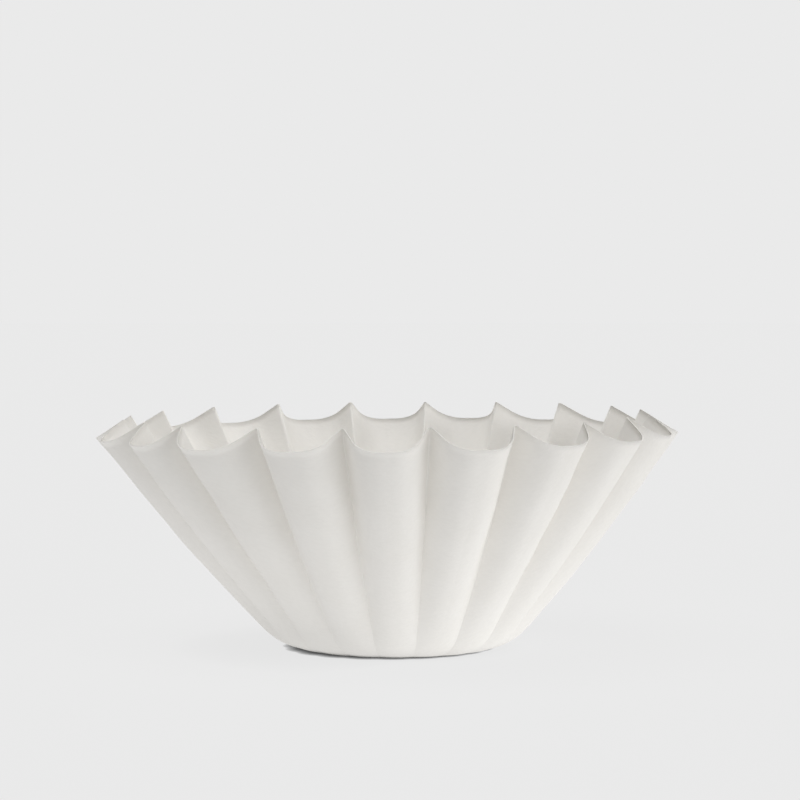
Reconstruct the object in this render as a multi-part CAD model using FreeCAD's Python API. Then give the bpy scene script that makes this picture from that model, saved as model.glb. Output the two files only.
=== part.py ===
"""Fluted paper coffee filter: one round sheet of paper, pressed to a flat base and a flaring fluted wall.

Units are millimetres and degrees. The frame stands on the floor plane: +Z is up, the origin is the centre
of the base's underside, and a flute's face is centred on +X.

The sheet starts as a flat disc. Paper bends but doesn't stretch, and that gives the whole shape:
- Along any radial line of the disc, the distance from its centre stays what it was. The line runs flat
  across the base, round the bend at its edge and up the wall, so the disc's cut edge ends as a wavy rim.
- Around the disc, a circle at a given distance from the centre keeps its length. The bowl is narrower there
  than the disc was, and the spare length goes into the flutes, so they deepen from nothing at the base.

Across, a flute has a narrow flat face in the middle. On each side of it a round shoulder turns into a
straight flank, and two flutes meet in a sharp groove. Toward the base the face and the flanks narrow and
the shoulders take over, so the flutes start as round lobes.
"""

import FreeCAD, Part

import math
import os

from FreeCAD import Vector

SIZES = (
    ("sheet_diameter", 185.0, "Diameter of the disc before it is pressed"),
    ("paper_thickness", 0.2, "Thickness of the paper"),
    ("flute_count", 20, "Number of flutes"),
    ("base_diameter", 41.0, "Diameter of the flat base that rests on the floor"),
    ("bend_radius", 16.0, "Radius of the bend between base and wall"),
    ("foot_angle", 47.0, "Slope of a flute's face above the bend"),
    ("rim_angle", 55.0, "Slope of a flute's face at the rim"),
    ("foot_face_share", 0.04, "Share of a flute's paper in its face, above the bend"),
    ("rim_face_share", 0.10, "Share of a flute's paper in its face, at the rim"),
    ("foot_flank_share", 0.10, "Share of a flute's paper in its two flanks, above the bend"),
    ("rim_flank_share", 0.32, "Share of a flute's paper in its two flanks, at the rim"),
    ("groove_share", 0.025, "Share of a flute's paper in its half of the grooves beside it"),
)

AXIS = Vector(0, 0, 1)
SHOULDER_COLUMNS = 4
BEND_ROWS = 3
WALL_ROWS = 3
ROW_CROWDING = 1.4
SECTION_STEPS = 200
STEEPEST = math.radians(110)
SOLVER_STEPS = 50
NORMAL_STEP = 0.02


def make_sheet(doc):
    """The spreadsheet of driving sizes, one aliased cell for each."""
    cells = doc.addObject("Spreadsheet::Sheet", "Sizes")
    for row, (alias, value, note) in enumerate(SIZES, start=1):
        cells.set(f"A{row}", note)
        cells.set(f"B{row}", str(value))
        cells.setAlias(f"B{row}", alias)
    doc.recompute()
    return cells


class FlutedSheet:
    """The paper's middle surface. s is the distance from the disc's centre, along the paper."""

    def __init__(self, cells):
        self.rim_s = cells.sheet_diameter / 2
        self.thickness = cells.paper_thickness
        self.count = int(cells.flute_count)
        self.base_s = cells.base_diameter / 2
        self.bend_radius = cells.bend_radius
        self.foot_angle = math.radians(cells.foot_angle)
        self.wall_s = self.base_s + self.bend_radius * self.foot_angle
        self.bow = (math.radians(cells.rim_angle) - self.foot_angle) / (self.rim_s - self.wall_s)
        self.foot_face, self.rim_face = cells.foot_face_share, cells.rim_face_share
        self.foot_flank, self.rim_flank = cells.foot_flank_share, cells.rim_flank_share
        self.groove = cells.groove_share
        self.half_pitch = math.pi / self.count

    def slope(self, s):
        """Angle of a flute's face above the horizontal."""
        if s <= self.base_s:
            return 0.0
        if s <= self.wall_s:
            return (s - self.base_s) / self.bend_radius
        return self.foot_angle + self.bow * (s - self.wall_s)

    def face_line(self, s):
        """Radius and height of the centre line of a flute's face."""
        radius, height = min(s, self.base_s), self.thickness / 2
        if s > self.base_s:
            turned = min(s, self.wall_s)
            radius += self.bend_radius * math.sin(self.slope(turned))
            height += self.bend_radius * (1 - math.cos(self.slope(turned)))
        if s > self.wall_s:
            half_turn = (self.slope(s) - self.foot_angle) / 2
            chord = (s - self.wall_s) * (math.sin(half_turn) / half_turn if half_turn else 1)
            radius += chord * math.cos(self.foot_angle + half_turn)
            height += chord * math.sin(self.foot_angle + half_turn)
        return radius, height

    def stretches(self, s):
        """Shares of half a flute, counted from its middle, at which its face, shoulder and flank end."""
        up = max(s - self.wall_s, 0) / (self.rim_s - self.wall_s)
        face = self.foot_face + (self.rim_face - self.foot_face) * up
        flank = self.foot_flank + (self.rim_flank - self.foot_flank) * up
        return face, 1 - self.groove - flank, 1 - self.groove

    def half_section(self, s, steepest):
        """(angle round the axis, depth behind the face) along half a flute, from face to groove."""
        radius, _ = self.face_line(s)
        lean = math.sin(self.slope(s))
        face_end, shoulder_end, flank_end = self.stretches(s)
        step = self.half_pitch * s / SECTION_STEPS
        angle, depth = 0.0, 0.0
        places = [(angle, depth)]
        for i in range(SECTION_STEPS):
            share = (i + 0.5) / SECTION_STEPS
            into_flank = (share - face_end) / (shoulder_end - face_end)
            out_of_flank = (1 - share) / (1 - flank_end)
            direction = steepest * max(0.0, min(into_flank, out_of_flank, 1.0))
            middle = depth + math.sin(direction) * step / 2
            angle += math.cos(direction) * step / (radius - middle * lean)
            depth += math.sin(direction) * step
            places.append((angle, depth))
        return places

    def section(self, s):
        """The half section whose paper just fills its share of the circle."""
        low, high = 0.0, STEEPEST
        for _ in range(SOLVER_STEPS):
            steepest = (low + high) / 2
            if self.half_section(s, steepest)[-1][0] > self.half_pitch:
                low = steepest
            else:
                high = steepest
        places = self.half_section(s, low)
        spread = self.half_pitch / places[-1][0]
        return [(angle * spread, depth) for angle, depth in places]

    def point(self, s, angle, depth):
        """The point of the middle surface at an angle from the flute's face and a depth behind it."""
        radius, height = self.face_line(s)
        radius -= depth * math.sin(self.slope(s))
        height += depth * math.cos(self.slope(s))
        return Vector(radius * math.cos(angle), radius * math.sin(angle), height)

    def row(self, s):
        """Points across one whole flute at the distance s, from groove to groove."""
        places = self.section(s)
        points = []
        for share in self.columns(s):
            angle, depth = places[round(abs(share) * SECTION_STEPS)]
            points.append(self.point(s, math.copysign(angle, share), depth))
        return points

    def columns(self, s):
        """Shares across a flute, from one groove at -1 to the next at 1, none within a flat stretch."""
        face_end, shoulder_end, flank_end = self.stretches(s)
        shoulder = shoulder_end - face_end
        half = [face_end + shoulder * i / SHOULDER_COLUMNS for i in range(SHOULDER_COLUMNS + 1)]
        half += [flank_end, 1.0]
        return [-share for share in reversed(half)] + half

    def rows(self):
        """Distances from the base's edge to the rim, closer together where the flutes start."""
        bend, wall = self.wall_s - self.base_s, self.rim_s - self.wall_s
        return (
            [self.base_s + bend * i / BEND_ROWS for i in range(BEND_ROWS)]
            + [self.wall_s + wall * (i / WALL_ROWS) ** ROW_CROWDING for i in range(WALL_ROWS + 1)]
        )

    def normals(self, s):
        """Upward normals along one flute, long enough to give the strips beside a point their thickness."""
        points = self.row(s)
        if s == self.base_s:
            return [AXIS] * len(points)
        before, beyond = self.row(s - NORMAL_STEP), self.row(s + NORMAL_STEP)
        along = [b - a for a, b in zip(before, beyond)]
        chords = [b - a for a, b in zip(points, points[1:])]
        chords = [self.mirrored(chords[0], -1)] + chords + [self.mirrored(chords[-1], 1)]
        normals = []
        for i, uphill in enumerate(along):
            one, other = uphill.cross(chords[i]).normalize(), uphill.cross(chords[i + 1]).normalize()
            normals.append((one + other) * (1 / (1 + one.dot(other))))
        return normals

    def mirrored(self, chord, side):
        """The matching chord beyond the groove on that side, followed in the same direction."""
        angle = side * self.half_pitch
        across = Vector(-math.sin(angle), math.cos(angle), 0)
        return across * (2 * chord.dot(across)) - chord

    def skin(self, side):
        """Grid of points on one flute's outer skin, for side -1, or inner skin, for side 1."""
        offset = side * self.thickness / 2
        return [[p + n * offset for p, n in zip(self.row(s), self.normals(s))] for s in self.rows()]


def flat_face(*corners):
    """A flat face with these corners."""
    return Part.Face(Part.makePolygon([*corners, corners[0]]))


def strips(grid):
    """Faces between neighbouring points of a grid: one for the flute's own face, two triangles elsewhere."""
    faces = []
    for lower, upper in zip(grid, grid[1:]):
        middle = len(lower) // 2 - 1
        for i in range(len(lower) - 1):
            a, b, c, d = lower[i], lower[i + 1], upper[i + 1], upper[i]
            if i < middle:
                faces += [flat_face(a, b, c), flat_face(a, c, d)]
            elif i > middle:
                faces += [flat_face(a, b, d), flat_face(b, c, d)]
            else:
                faces.append(flat_face(a, b, c, d))
    return faces


def disc(sheet, points):
    """The flat face inside a ring of flutes' edges, from the points of one flute's edge."""
    ring = []
    for i in range(sheet.count):
        turn = FreeCAD.Rotation(AXIS, 360 * i / sheet.count)
        ring += [turn.multVec(point) for point in points[:-1]]
    return flat_face(*ring)


def filter_shape(sheet):
    """The whole filter: flutes round a flat base, as one closed solid."""
    outer, inner = sheet.skin(-1), sheet.skin(1)
    flute = Part.makeCompound(strips(outer) + strips(inner) + strips([outer[-1], inner[-1]]))
    faces = [disc(sheet, outer[0]), disc(sheet, inner[0])]
    for i in range(sheet.count):
        faces += flute.rotated(Vector(), AXIS, 360 * i / sheet.count).Faces
    shell = Part.makeShell(faces)
    shell.sewShape()
    solid = Part.makeSolid(shell)
    if solid.Volume < 0:
        solid.reverse()
    return solid


def check(doc, part, sheet):
    """Stops if anything in the document failed, and prints how much paper there is beside the disc's."""
    for item in doc.Objects:
        if "Invalid" in item.State or "Error" in item.State:
            raise RuntimeError(f"{item.Label} failed: {item.State}")
    shape = part.Shape
    if shape.isNull() or not shape.isValid() or len(shape.Solids) != 1:
        raise RuntimeError(f"{part.Label} isn't one valid solid")
    paper = math.pi * sheet.rim_s ** 2 * sheet.thickness
    print(f"{part.Label}: {shape.Volume:.1f} mm3 of paper, and the disc has {paper:.1f}")
    box = shape.BoundBox
    print(f"box {box.XLength:.2f} x {box.YLength:.2f} x {box.ZLength:.2f}, lowest {box.ZMin:.4f}")


def main():
    doc = FreeCAD.newDocument("coffee_filter")
    cells = make_sheet(doc)
    sheet = FlutedSheet(cells)
    part = doc.addObject("Part::Feature", "filter_paper")
    part.Label = "filter_paper"
    part.Shape = filter_shape(sheet)
    part.Placement = FreeCAD.Placement()
    doc.recompute()
    check(doc, part, sheet)
    os.makedirs("parts", exist_ok=True)
    part.Shape.exportStep(f"parts/{part.Label}.step")


main()
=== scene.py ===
"""Looks of the fluted paper coffee filter: one sheet of soft white crepe paper, standing on a pale floor.

Metres and radians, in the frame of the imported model. +Z is up, and the origin is the centre of the base's
underside.
"""

import math

import bpy
import numpy as np
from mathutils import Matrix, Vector, noise


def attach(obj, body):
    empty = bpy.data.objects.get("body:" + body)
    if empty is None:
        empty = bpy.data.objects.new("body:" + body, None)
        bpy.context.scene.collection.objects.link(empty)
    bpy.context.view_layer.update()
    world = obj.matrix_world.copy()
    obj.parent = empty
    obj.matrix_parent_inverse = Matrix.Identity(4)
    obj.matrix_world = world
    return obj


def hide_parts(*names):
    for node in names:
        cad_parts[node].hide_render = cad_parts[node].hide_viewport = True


MM = 0.001

# The sheet and how it is pressed, the same sizes as in the part's source
SHEET_RADIUS = 92.5 * MM
PAPER = 0.2 * MM
FLUTES = 20
BASE_RADIUS = 20.5 * MM
BEND_RADIUS = 16 * MM
FOOT_ANGLE = math.radians(47)
RIM_ANGLE = math.radians(55)
FOOT_FACE_SHARE = 0.04
RIM_FACE_SHARE = 0.10
FOOT_FLANK_SHARE = 0.10
RIM_FLANK_SHARE = 0.32
GROOVE_SHARE = 0.025

HALF_PITCH = math.pi / FLUTES
BEND_END = BASE_RADIUS + BEND_RADIUS * FOOT_ANGLE
STEEPEST = math.radians(110)

# Share of the flutes' spare paper that the press crimps at the foot, into wrinkles too fine to model
CRIMPED_SHARE = 0.7

# How finely the sheet is divided
FACE_COLUMNS = 3
SHOULDER_COLUMNS = 8
FLANK_COLUMNS = 3
GROOVE_COLUMNS = 4
BASE_ROWS = 7
BEND_ROWS = 10
WALL_ROWS = 34
SECTION_STEPS = 300
SOLVER_STEPS = 40

# Small unevenness of a real sheet
SEED = 7
LEAN = -2.4 * MM
TILT = 1.0 * MM
GROOVE_DRIFT = math.radians(0.5)
STRAY_GROOVE, STRAY = 17, math.radians(-2.5)
WAVE_SIZE, WAVE_DEPTH = 16 * MM, 0.45 * MM
RIPPLES_PER_WAVE, RIPPLE_SHARE = 2.5, 1 / 3

# The paper's colour and gloss
WHITE = (0.931, 0.914, 0.881, 1)
CLOUDED_WHITE = (0.901, 0.881, 0.841, 1)
SPECULAR = 0.2
SMOOTHEST, ROUGHEST = 0.82, 0.98

# The paper's grains: millimetres from patch to patch along and across the flat sheet, and layers of detail
CLOUDS = (9.0, 9.0, 4)
CREPE = (1.75, 0.7, 3)
FIBRES = (0.75, 0.25, 2)
CREPE_DEPTH, FIBRE_DEPTH = 0.06 * MM, 0.012 * MM
# The crepe's valleys, from the first of these to the second, are darkened in colour down to the third:
# painted shade in its wrinkles
CREPE_VALLEY, CREPE_RIDGE, CREPE_PAINTED_SHADE = 0.35, 0.6, 0.988

# The camera, by the photograph's framing
IMAGE_WIDTH = 800
PIXEL = 0.239 * MM
CAMERA_DISTANCE = 0.7
CAMERA_HEIGHT = 91 * MM
AIM_X, AIM_HEIGHT = 0.9 * MM, 59 * MM
SENSOR = 36.0

# The floor and backdrop as the photograph shows them, and the floor's glow, which lights the filter as a
# lamp would
WORLD_LIGHT, WORLD_SHOWN = 0.2, 0.823
FLOOR_REACH = 4.0
FLOOR_WHITE = 0.8
FLOOR_SHOWN = 0.83
FLOOR_EVENNESS = 0.94
# Painted light: the floor glows onto the filter, brightest near it and dimmer farther out
NEAR_GLOW, NEAR_REACH = 0.95, 90 * MM
FAR_GLOW, FAR_REACH = 0.65, 150 * MM

# The filter's painted shadow on the floor, darkening its glow: a wide faint one and a thin dark line where
# they touch. The first reach of each holds at the base's left edge, and the second from the place in X
# where the shade turns even. The wide one counts by one share in the light that the floor gives, and by
# another to the camera
SHADE_REACHES, SHADE_EVEN_FROM = (20 * MM, 4 * MM), 0
CONTACT_REACHES, CONTACT_EVEN_FROM = (1.4 * MM, 0.4 * MM), BASE_RADIUS
SHADE_GIVEN, SHADE_SHOWN = 0.25, 0.04
SHADE_LEAN = math.radians(65)
SHADE_SAMPLES = 8

# The lamps: degrees to the right of the camera's side and above the floor, strength, degrees of softness
LAMPS = {
    "key": (85, 6, 0.9, 40),
    "fill": (50, 12, 0.58, 40),
    "top": (-60, 75, 1.7, 60),
}


def stretches(s):
    """Shares of half a flute, from its middle, at which its face, shoulder, flank and groove end."""
    up = max(s - BEND_END, 0) / (SHEET_RADIUS - BEND_END)
    face = FOOT_FACE_SHARE + (RIM_FACE_SHARE - FOOT_FACE_SHARE) * up
    flank = FOOT_FLANK_SHARE + (RIM_FLANK_SHARE - FOOT_FLANK_SHARE) * up
    return face, 1 - GROOVE_SHARE - flank, 1 - GROOVE_SHARE, 1


def turn(s, share, steepest):
    """Direction of the section at a share of half a flute: 0 along the face, steepest on the flank."""
    face_end, shoulder_end, flank_end, _ = stretches(s)
    into_flank = (share - face_end) / (shoulder_end - face_end)
    out_of_flank = (1 - share) / (1 - flank_end)
    return steepest * np.minimum(into_flank, out_of_flank).clip(0, 1)


def length_across(s, radius):
    """Length of the paper in half a flute, without what the press crimps."""
    up = np.clip((s - BEND_END) / (SHEET_RADIUS - BEND_END), 0, 1)
    return HALF_PITCH * (s - (s - radius) * CRIMPED_SHARE * (1 - up) ** 2)


def half_section(s, radius, lean, steepest):
    """Angles round the axis and depths behind the face along half a flute, from face to groove."""
    step = length_across(s, radius) / SECTION_STEPS
    share = (np.arange(SECTION_STEPS) + 0.5) / SECTION_STEPS
    direction = turn(s, share, steepest)
    depth = np.concatenate(([0], np.cumsum(np.sin(direction)) * step))
    middle = (depth[1:] + depth[:-1]) / 2
    angle = np.concatenate(([0], np.cumsum(np.cos(direction) * step / (radius - middle * lean))))
    return angle, depth


def section(s, radius, lean):
    """The half section whose paper just fills its share of the circle."""
    low, high = 0.0, STEEPEST
    for _ in range(SOLVER_STEPS):
        steepest = (low + high) / 2
        if half_section(s, radius, lean, steepest)[0][-1] > HALF_PITCH:
            low = steepest
        else:
            high = steepest
    angle, depth = half_section(s, radius, lean, low)
    return angle * HALF_PITCH / angle[-1], depth


def profile(s):
    """Slope, radius and height of a flute's face at the distance s along the paper."""
    if s <= BASE_RADIUS:
        return 0.0, s, PAPER / 2
    slope = min((s - BASE_RADIUS) / BEND_RADIUS, FOOT_ANGLE)
    radius = BASE_RADIUS + BEND_RADIUS * math.sin(slope)
    height = PAPER / 2 + BEND_RADIUS * (1 - math.cos(slope))
    if s > BEND_END:
        half_turn = (RIM_ANGLE - FOOT_ANGLE) * (s - BEND_END) / (SHEET_RADIUS - BEND_END) / 2
        chord = (s - BEND_END) * math.sin(half_turn) / half_turn
        slope = FOOT_ANGLE + 2 * half_turn
        radius += chord * math.cos(FOOT_ANGLE + half_turn)
        height += chord * math.sin(FOOT_ANGLE + half_turn)
    return slope, radius, height


def distances():
    """Distances along the paper of the rows of points, from near the centre to the rim."""
    return np.concatenate((
        np.linspace(0, BASE_RADIUS, BASE_ROWS + 1)[1:],
        np.linspace(BASE_RADIUS, BEND_END, BEND_ROWS + 1)[1:],
        np.linspace(BEND_END, SHEET_RADIUS, WALL_ROWS + 1)[1:],
    ))


def columns(s):
    """Shares across a flute, from one groove at -1 to the next at 1, closer where the paper turns."""
    half, start = [], 0
    counts = (FACE_COLUMNS, SHOULDER_COLUMNS, FLANK_COLUMNS, GROOVE_COLUMNS)
    for end, count in zip(stretches(s), counts):
        half.append(np.linspace(start, end, count + 1)[1:])
        start = end
    half = np.concatenate(half)
    return np.concatenate((-half[::-1], [0], half[:-1]))


def around_flat():
    """Angles round the flat sheet's centre, for the columns of each row of points."""
    flutes = np.arange(FLUTES) * 2 * HALF_PITCH
    return [(flutes[:, None] + HALF_PITCH * columns(s)[None, :]).ravel() for s in distances()]


def middle_surface():
    """Points of the sheet's middle surface, rows from the base outward, columns round the axis."""
    flutes = np.arange(FLUTES) * 2 * HALF_PITCH
    places = np.linspace(0, 1, SECTION_STEPS + 1)
    rows = []
    for s in distances():
        slope, radius, height = profile(s)
        shares = columns(s)
        if s > BASE_RADIUS:
            angle, depth = section(s, radius, math.sin(slope))
        else:
            angle, depth = places * HALF_PITCH, places * 0
        around = np.copysign(np.interp(np.abs(shares), places, angle), shares)
        behind = np.tile(np.interp(np.abs(shares), places, depth), FLUTES)
        around = (flutes[:, None] + around[None, :]).ravel()
        around = around + drift(around) * wall_share(s) ** 2
        out = radius - behind * math.sin(slope)
        up = height + behind * math.cos(slope)
        rows.append(np.stack((out * np.sin(around), -out * np.cos(around), up), axis=-1))
    return np.array(rows)


def wall_share(s):
    """How far up the wall a point is: 0 below the bend's start, 1 at the rim."""
    return max(s - BASE_RADIUS, 0) / (SHEET_RADIUS - BASE_RADIUS)


def drift(around):
    """How far the grooves stray round the axis at the rim: all of them a little, and one of them more."""
    grooves = (np.arange(FLUTES) + 0.5) * 2 * HALF_PITCH
    strays = np.random.default_rng(SEED).uniform(-GROOVE_DRIFT, GROOVE_DRIFT, FLUTES)
    strays[STRAY_GROOVE] += STRAY
    return np.interp(around, grooves, strays, period=2 * math.pi)


def uneven(points):
    """The same points with the soft waves of a real sheet, a slight lean and a slight tilt."""
    out = points.copy()
    offset = normals(points)
    for row, s in enumerate(distances()):
        depth = WAVE_DEPTH * wall_share(s)
        for column, point in enumerate(points[row]):
            wave = noise.noise(Vector(point) / WAVE_SIZE + Vector((SEED, 0, 0)))
            wave += noise.noise(Vector(point) * RIPPLES_PER_WAVE / WAVE_SIZE) * RIPPLE_SHARE
            out[row, column] += offset[row, column] * (wave * depth)
    share = (points[..., 2] / points[..., 2].max()).clip(0, 1)
    out[..., 0] += LEAN * share
    out[..., 2] += TILT * share * points[..., 0] / SHEET_RADIUS
    return out


def normals(points):
    """Unit normals of the rows of points, upward and inward."""
    around = np.roll(points, -1, axis=1) - np.roll(points, 1, axis=1)
    along = np.gradient(points, axis=0)
    found = np.cross(along, around)
    found /= np.linalg.norm(found, axis=-1, keepdims=True)
    found[:BASE_ROWS] = (0, 0, 1)
    return found


def filter_mesh():
    """The whole sheet as one closed mesh: outer skin, inner skin and the cut edge between them."""
    middle = uneven(middle_surface())
    offset = normals(middle) * (PAPER / 2)
    row_count, column_count = middle.shape[:2]
    centres = [np.array([[0, 0, 0]]), np.array([[0, 0, PAPER]])]
    skins = [middle - offset, middle + offset]
    vertices = np.concatenate([part.reshape(-1, 3) for part in (*skins, *centres)])
    faces = []
    for skin in range(2):
        outward = skin == 0
        first = skin * row_count * column_count
        centre = 2 * row_count * column_count + skin
        for column in range(column_count):
            after = (column + 1) % column_count
            faces.append(wound((first + column, first + after, centre), outward))
            for row in range(row_count - 1):
                low, high = first + row * column_count, first + (row + 1) * column_count
                faces.append(wound((low + column, high + column, high + after, low + after), outward))
    low = (row_count - 1) * column_count
    high = low + row_count * column_count
    for column in range(column_count):
        after = (column + 1) % column_count
        faces.append((low + column, high + column, high + after, low + after))
    mesh = bpy.data.meshes.new("filter_paper_sheet")
    mesh.from_pydata(vertices.tolist(), [], faces)
    lay_flat(mesh)
    mesh.validate()
    mesh.shade_smooth()
    return mesh


def lay_flat(mesh):
    """Texture coordinates that are each point's place on the flat sheet, which spans them from 0 to 1."""
    skin = []
    for s, around in zip(distances(), around_flat()):
        skin += [(s * math.sin(angle), -s * math.cos(angle)) for angle in around]
    flat = np.array(skin + skin + [(0, 0), (0, 0)]) / (2 * SHEET_RADIUS) + 0.5
    corners = np.empty(len(mesh.loops), dtype=np.int32)
    mesh.loops.foreach_get("vertex_index", corners)
    mesh.uv_layers.new(name="flat_sheet").uv.foreach_set("vector", flat[corners].ravel())


def wound(corners, outward):
    """The corners in the order that makes the face look outward, or inward."""
    return corners[::-1] if outward else corners


def emptied(owner, kind):
    """The node tree of a material or world with only a new output in it, and that output."""
    owner.use_nodes = True
    tree = owner.node_tree
    tree.nodes.clear()
    return tree, tree.nodes.new(kind)


def mapped(tree, value, source, target, curve="LINEAR"):
    """The value moved from the source's range to the target's."""
    node = tree.nodes.new("ShaderNodeMapRange")
    node.interpolation_type = curve
    node.inputs["From Min"].default_value, node.inputs["From Max"].default_value = source
    node.inputs["To Min"].default_value, node.inputs["To Max"].default_value = target
    tree.links.new(value, node.inputs["Value"])
    return node.outputs["Result"]


def mixed(tree, kind, factor, start, end, blend="MIX"):
    """A mix of two numbers or colours, each of them given as it is or by another node's output."""
    node = tree.nodes.new("ShaderNodeMix")
    node.data_type = kind
    node.blend_type = blend
    for name, value in (("Factor", factor), ("A", start), ("B", end)):
        if isinstance(value, bpy.types.NodeSocket):
            tree.links.new(value, node.inputs[name])
        else:
            node.inputs[name].default_value = value
    return node.outputs["Result"]


def grain(tree, place, name, along, across, detail):
    """Noise on the flat sheet, whose patches are so many millimetres along and across it."""
    sheet = 2 * SHEET_RADIUS / MM
    size = tree.nodes.new("ShaderNodeMapping")
    size.label = name
    size.inputs["Scale"].default_value = (sheet / along, sheet / across, 1)
    found = tree.nodes.new("ShaderNodeTexNoise")
    found.label = name
    found.noise_dimensions = "2D"
    found.inputs["Scale"].default_value = 1
    found.inputs["Detail"].default_value = detail
    tree.links.new(place, size.inputs["Vector"])
    tree.links.new(size.outputs["Vector"], found.inputs["Vector"])
    return found.outputs["Fac"]


def paper_material():
    """Matte white crepe paper: cloudy in colour, with fine wrinkles across the sheet, painted shade in
    their valleys, and finer fibres.
    """
    material = bpy.data.materials.new("filter_paper_white")
    tree, output = emptied(material, "ShaderNodeOutputMaterial")
    place = tree.nodes.new("ShaderNodeUVMap")
    place.uv_map = "flat_sheet"
    clouds = grain(tree, place.outputs["UV"], "clouds", *CLOUDS)
    crepe = grain(tree, place.outputs["UV"], "crepe", *CREPE)
    fibres = grain(tree, place.outputs["UV"], "fibres", *FIBRES)

    colour = mixed(tree, "RGBA", clouds, CLOUDED_WHITE, WHITE)
    # Painted shade: the crepe's valleys are darkened in the paper's colour
    painted_crepe_shade = mapped(tree, crepe, (CREPE_VALLEY, CREPE_RIDGE), (CREPE_PAINTED_SHADE, 1))
    colour = mixed(tree, "RGBA", 1, colour, painted_crepe_shade, "MULTIPLY")
    roughness = mapped(tree, fibres, (0, 1), (SMOOTHEST, ROUGHEST))
    normal = None
    for height, depth in ((crepe, CREPE_DEPTH), (fibres, FIBRE_DEPTH)):
        bump = tree.nodes.new("ShaderNodeBump")
        bump.inputs["Distance"].default_value = depth
        tree.links.new(height, bump.inputs["Height"])
        if normal:
            tree.links.new(normal, bump.inputs["Normal"])
        normal = bump.outputs["Normal"]

    surface = tree.nodes.new("ShaderNodeBsdfPrincipled")
    surface.inputs["Specular IOR Level"].default_value = SPECULAR
    tree.links.new(colour, surface.inputs["Base Color"])
    tree.links.new(roughness, surface.inputs["Roughness"])
    tree.links.new(normal, surface.inputs["Normal"])
    tree.links.new(surface.outputs["BSDF"], output.inputs["Surface"])
    return material


def add_filter():
    """The dressed filter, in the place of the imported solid."""
    sheet = bpy.data.objects.new("filter_paper_sheet", filter_mesh())
    bpy.context.scene.collection.objects.link(sheet)
    sheet.data.materials.append(paper_material())
    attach(sheet, "root")
    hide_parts("filter_paper")


def shown(tree):
    """1 for a ray from the camera, direct or by gloss or glass, and 0 for one that lights a surface."""
    rays = tree.nodes.new("ShaderNodeLightPath")
    found = rays.outputs["Is Camera Ray"]
    for kind in ("Is Glossy Ray", "Is Transmission Ray"):
        larger = tree.nodes.new("ShaderNodeMath")
        larger.operation = "MAXIMUM"
        tree.links.new(found, larger.inputs[0])
        tree.links.new(rays.outputs[kind], larger.inputs[1])
        found = larger.outputs["Value"]
    return found


def openness(tree, place, label, reaches, even_from):
    """1 in the open, and less where the filter is within reach and hides the key lamp's side: painted
    shadow on the floor.
    """
    sideways = tree.nodes.new("ShaderNodeSeparateXYZ")
    tree.links.new(place, sideways.inputs["Vector"])
    to_key = tree.nodes.new("ShaderNodeCombineXYZ")
    to_key.inputs["X"].default_value = math.sin(SHADE_LEAN)
    to_key.inputs["Z"].default_value = math.cos(SHADE_LEAN)
    found = tree.nodes.new("ShaderNodeAmbientOcclusion")
    found.label = label
    found.samples = SHADE_SAMPLES
    reach = mapped(tree, sideways.outputs["X"], (-BASE_RADIUS, even_from), reaches)
    tree.links.new(reach, found.inputs["Distance"])
    tree.links.new(to_key.outputs["Vector"], found.inputs["Normal"])
    hidden_by_floor = (1 - math.cos(SHADE_LEAN)) / 2
    return mapped(tree, found.outputs["AO"], (hidden_by_floor, 1), (0, 1))


def floor_material():
    """An even pale glow: one level for the camera, another as light on the filter, and painted shadow in
    both.
    """
    material = bpy.data.materials.new("floor_white")
    tree, output = emptied(material, "ShaderNodeOutputMaterial")
    place = tree.nodes.new("ShaderNodeNewGeometry").outputs["Position"]
    away = tree.nodes.new("ShaderNodeVectorMath")
    away.operation = "LENGTH"
    tree.links.new(place, away.inputs[0])
    reaches, glows = (NEAR_REACH, FAR_REACH), (NEAR_GLOW, FAR_GLOW)
    # Painted light: the floor's glow on the filter, brighter near it
    given = mapped(tree, away.outputs["Value"], reaches, glows, "SMOOTHSTEP")
    seen = shown(tree)

    wide_shadow = openness(tree, place, "shade", SHADE_REACHES, SHADE_EVEN_FROM)
    wide_shadow_share = mixed(tree, "FLOAT", seen, SHADE_GIVEN, SHADE_SHOWN)
    wide_shadow = mixed(tree, "RGBA", wide_shadow_share, (1, 1, 1, 1), wide_shadow)
    contact_shadow = openness(tree, place, "contact_shadow", CONTACT_REACHES, CONTACT_EVEN_FROM)
    glow = tree.nodes.new("ShaderNodeEmission")
    tree.links.new(mixed(tree, "RGBA", 1, contact_shadow, wide_shadow, "MULTIPLY"), glow.inputs["Color"])
    tree.links.new(mixed(tree, "FLOAT", seen, given, FLOOR_SHOWN), glow.inputs["Strength"])

    diffuse = tree.nodes.new("ShaderNodeBsdfDiffuse")
    diffuse.inputs["Color"].default_value = (FLOOR_WHITE, FLOOR_WHITE, FLOOR_WHITE, 1)
    mix = tree.nodes.new("ShaderNodeMixShader")
    mix.inputs["Fac"].default_value = FLOOR_EVENNESS
    tree.links.new(diffuse.outputs["BSDF"], mix.inputs[1])
    tree.links.new(glow.outputs["Emission"], mix.inputs[2])
    tree.links.new(mix.outputs["Shader"], output.inputs["Surface"])
    return material


def add_floor():
    """A wide pale floor under the filter."""
    mesh = bpy.data.meshes.new("floor")
    corners = [(-1, -1), (1, -1), (1, 1), (-1, 1)]
    places = [(x * FLOOR_REACH, y * FLOOR_REACH, 0) for x, y in corners]
    mesh.from_pydata(places, [], [(0, 1, 2, 3)])
    mesh.materials.append(floor_material())
    floor = bpy.data.objects.new("floor", mesh)
    bpy.context.scene.collection.objects.link(floor)


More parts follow.
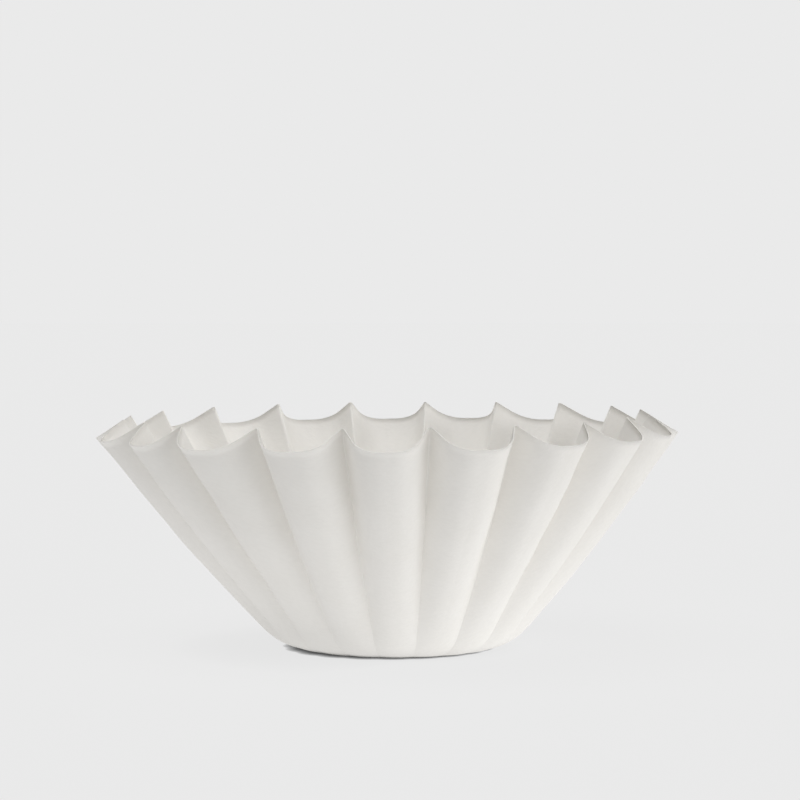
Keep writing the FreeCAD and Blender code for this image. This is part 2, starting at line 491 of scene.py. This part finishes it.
def add_world():
    """Dim even light from all round, seen by the camera as the pale backdrop."""
    world = bpy.data.worlds.new("studio")
    tree, output = emptied(world, "ShaderNodeOutputWorld")
    mix = tree.nodes.new("ShaderNodeMixShader")
    tree.links.new(shown(tree), mix.inputs["Fac"])
    for place, level in enumerate((WORLD_LIGHT, WORLD_SHOWN), start=1):
        light = tree.nodes.new("ShaderNodeBackground")
        light.inputs["Color"].default_value = (1, 1, 1, 1)
        light.inputs["Strength"].default_value = level
        tree.links.new(light.outputs["Background"], mix.inputs[place])
    tree.links.new(mix.outputs["Shader"], output.inputs["Surface"])
    bpy.context.scene.world = world


def add_sun(name, rightward, upward, strength, softness):
    """A soft distant lamp, by the numbers in LAMPS."""
    data = bpy.data.lights.new(name, "SUN")
    data.energy = strength
    data.angle = math.radians(softness)
    lamp = bpy.data.objects.new(name, data)
    lamp.rotation_euler = (math.radians(90 - upward), 0, math.radians(rightward))
    bpy.context.scene.collection.objects.link(lamp)


def add_camera():
    """The camera, as far away and as high as in the photograph."""
    data = bpy.data.cameras.new("camera")
    data.sensor_width = SENSOR
    target = Vector((AIM_X, 0, AIM_HEIGHT))
    place = Vector((AIM_X, -CAMERA_DISTANCE, CAMERA_HEIGHT))
    data.lens = SENSOR * (target - place).length / (IMAGE_WIDTH * PIXEL)
    camera = bpy.data.objects.new("camera", data)
    camera.location = place
    camera.rotation_euler = (target - place).to_track_quat("-Z", "Y").to_euler()
    bpy.context.scene.collection.objects.link(camera)
    bpy.context.scene.camera = camera


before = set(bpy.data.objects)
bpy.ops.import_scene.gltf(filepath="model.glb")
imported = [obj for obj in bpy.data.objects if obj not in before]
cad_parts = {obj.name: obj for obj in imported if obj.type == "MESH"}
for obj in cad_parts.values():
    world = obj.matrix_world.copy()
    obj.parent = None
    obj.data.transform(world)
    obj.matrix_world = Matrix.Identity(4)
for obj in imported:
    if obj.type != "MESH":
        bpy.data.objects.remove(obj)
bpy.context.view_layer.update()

bpy.context.scene.view_settings.view_transform = "Standard"
add_filter()
add_floor()
add_world()
for name, settings in LAMPS.items():
    add_sun(name, *settings)
add_camera()
